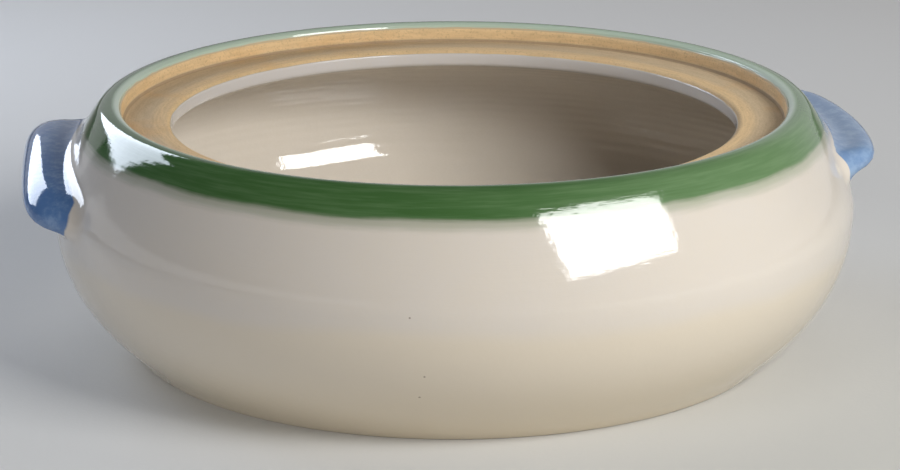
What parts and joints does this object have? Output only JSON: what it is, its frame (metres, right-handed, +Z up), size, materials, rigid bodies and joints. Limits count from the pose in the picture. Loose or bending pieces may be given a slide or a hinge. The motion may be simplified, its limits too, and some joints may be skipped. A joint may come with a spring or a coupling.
{
  "type": "casserole dish",
  "caption": "Round stoneware casserole base: a wide rounded bowl on a flat foot ring, with an inset ledge and collar at its mouth that seat a lid, and a lug handle at either side.",
  "frame": {"origin": "centre of the foot ring, on the surface that the dish stands on", "axes": "+Z up along the axis of the bowl; X runs through the lug handles, with the deeper lug on -X; Y runs from front to back"},
  "size_m": [0.257, 0.242, 0.0745],
  "materials": {
    "glaze": "glossy cream glaze, with green at the rim, blue on the lugs and bare buff clay in the lid gallery"
  },
  "bodies": {
    "root": {"dish": "glaze"}
  },
  "joints": []
}
